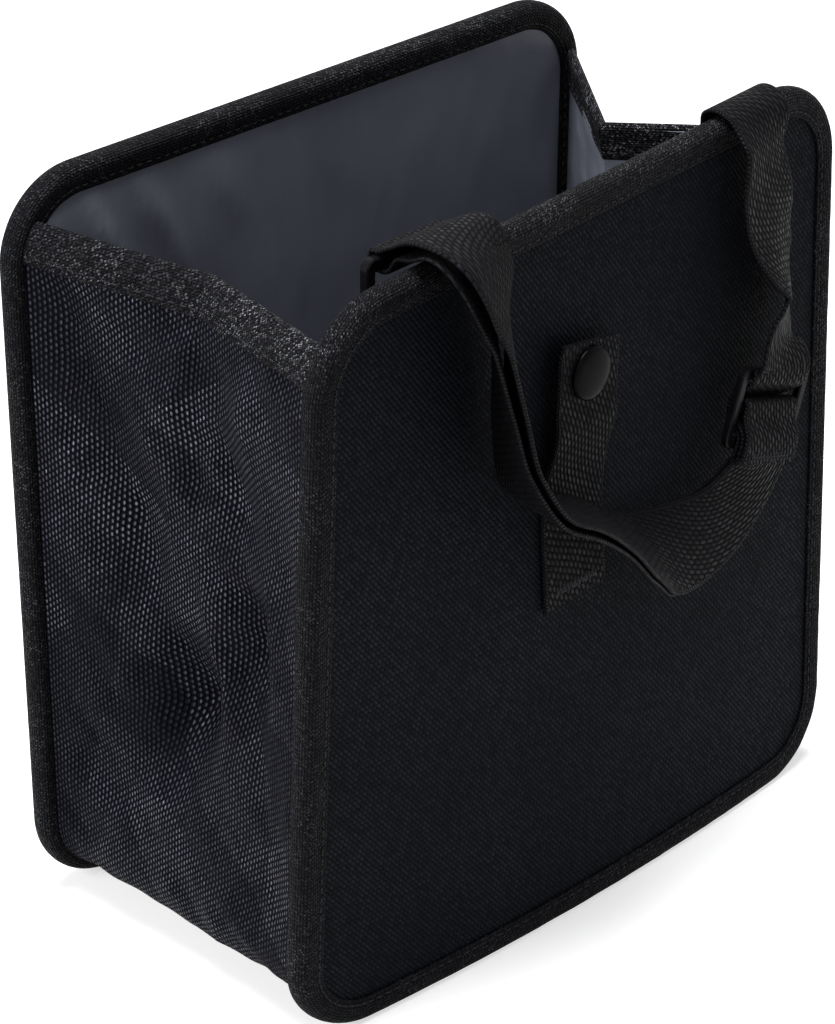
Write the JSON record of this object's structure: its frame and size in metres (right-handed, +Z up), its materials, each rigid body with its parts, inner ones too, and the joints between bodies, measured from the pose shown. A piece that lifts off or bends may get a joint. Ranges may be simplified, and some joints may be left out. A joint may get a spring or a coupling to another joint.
{
  "type": "collapsible hanging car storage bag",
  "caption": "Open-topped soft storage bag for a car: stiff bound front and rear panels, a folding gusset, a webbing strap with slider and ring, and a snap tab.",
  "frame": {"origin": "centre of the footprint, on the surface that the bag stands on", "axes": "+Z up, -Y the way the front panel with the strap and the snap tab faces, +X to the right of someone who looks at the front panel"},
  "size_m": [0.213, 0.1424, 0.2287],
  "materials": {
    "cover": "fine twill, near black with a blue tint",
    "board": "stiffening sheet, hidden between cover and lining",
    "lining": "semi-gloss dark blue-grey film",
    "binding": "woven binding tape, folded over the edge and stitched",
    "gusset": "coarse coated oxford cloth with pressed creases",
    "webbing": "black herringbone webbing",
    "plastic": "satin black moulded plastic",
    "snap": "glossy black"
  },
  "bodies": {
    "front_panel": {"front_cover": "cover", "front_board": "board", "front_lining": "lining", "front_binding": "binding", "gusset_fabric": "gusset", "gusset_lining": "lining", "left_gusset_binding": "binding", "right_gusset_binding": "binding", "strap": "webbing", "ring_loop": "webbing", "snap_tab": "webbing", "snap_cap": "snap", "snap_socket": "snap", "snap_stud": "snap", "snap_post": "snap"},
    "rear_panel": {"rear_cover": "cover", "rear_board": "board", "rear_lining": "lining", "rear_binding": "binding"},
    "slider": {"strap_slider": "plastic"},
    "ring": {"strap_ring": "plastic"}
  },
  "joints": [
    {"name": "panel_fold", "type": "slide", "parent": "front_panel", "child": "rear_panel", "axis": [0, -1, 0], "range_m": [0, 0.07], "deforming": ["gusset_fabric", "gusset_lining", "left_gusset_binding", "right_gusset_binding"]},
    {"name": "slider_travel", "type": "slide", "parent": "front_panel", "child": "slider", "axis": [-0.3256, 0, -0.9455], "range_m": [-0.008, 0.008], "deforming": ["strap"]},
    {"name": "ring_swing", "type": "hinge", "parent": "front_panel", "child": "ring", "pos_m": [-0.0565, -0.02919, 0.204], "axis": [1, 0, 0], "range_deg": [-12, 12], "deforming": ["strap", "ring_loop"]}
  ]
}
